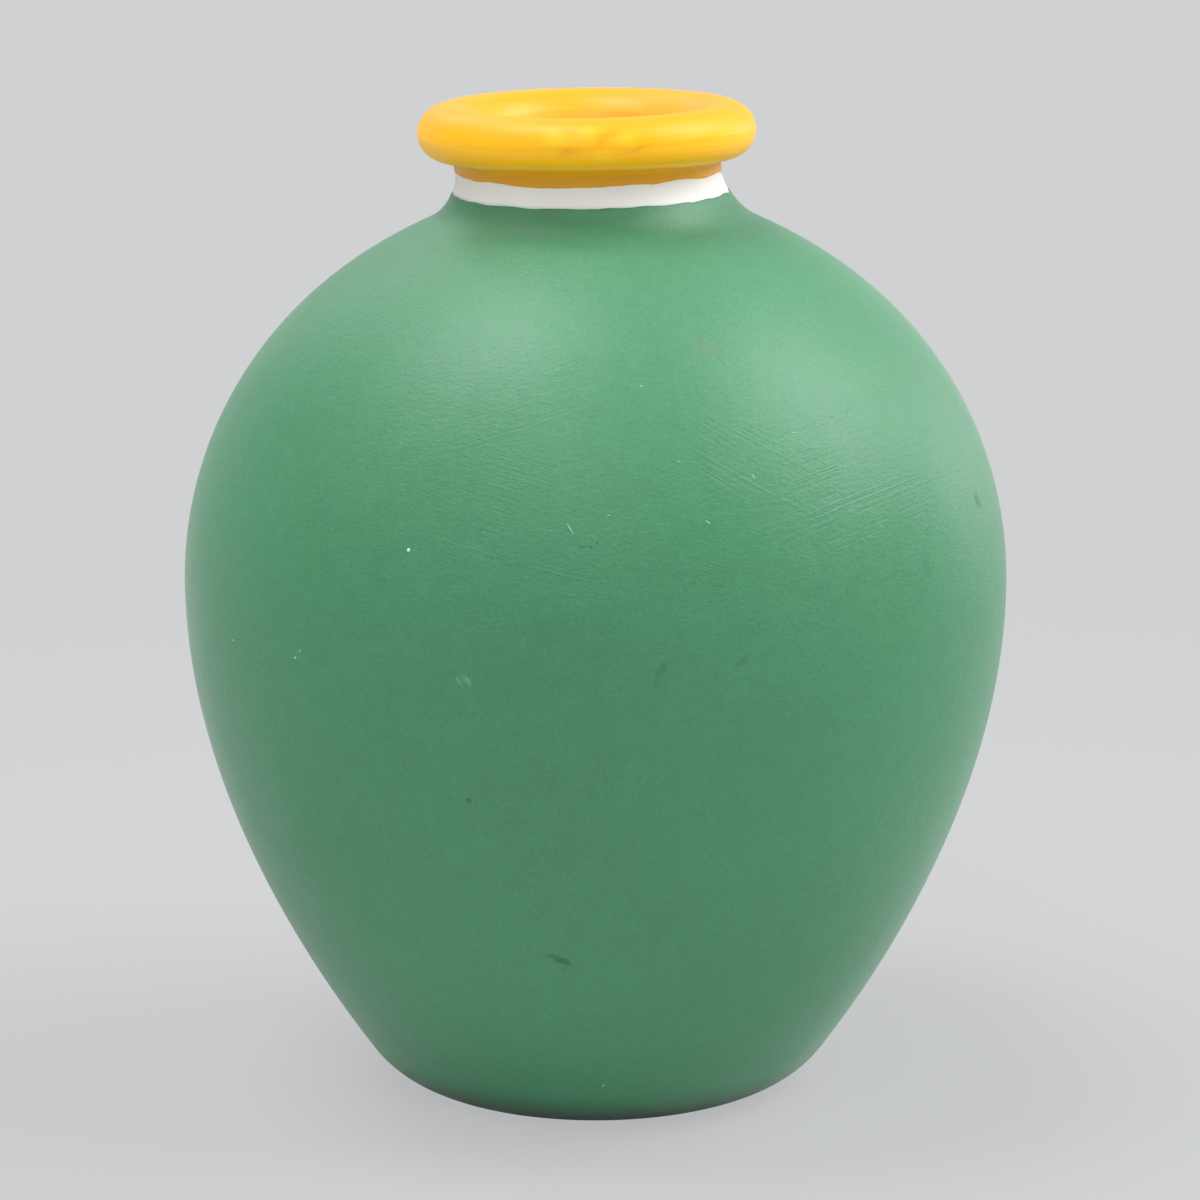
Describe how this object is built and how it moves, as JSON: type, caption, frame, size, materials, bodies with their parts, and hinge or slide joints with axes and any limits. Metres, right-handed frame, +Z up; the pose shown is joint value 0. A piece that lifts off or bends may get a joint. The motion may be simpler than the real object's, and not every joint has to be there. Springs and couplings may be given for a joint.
{
  "type": "terracotta water jar",
  "caption": "Round hand-made terracotta jar on a small flat foot, with a narrow neck and a thick rolled rim, painted green with a yellow rim and a white neck band.",
  "frame": {"origin": "middle of the flat rest face under the foot", "axes": "+Z up along the jar's axis, out of the mouth"},
  "size_m": [0.1654, 0.1654, 0.2],
  "materials": {
    "clay": "fired unglazed earthenware, matt",
    "primer": "brushed white undercoat, matt",
    "green_paint": "brushed green paint, satin",
    "yellow_paint": "brushed yellow paint, half gloss"
  },
  "bodies": {
    "root": {"base_slab": "clay", "lower_wall": "clay", "upper_wall": "clay", "neck_collar": "clay", "rim_coil": "clay", "primer_coat": "primer", "green_coat": "green_paint", "yellow_coat": "yellow_paint"}
  },
  "joints": []
}
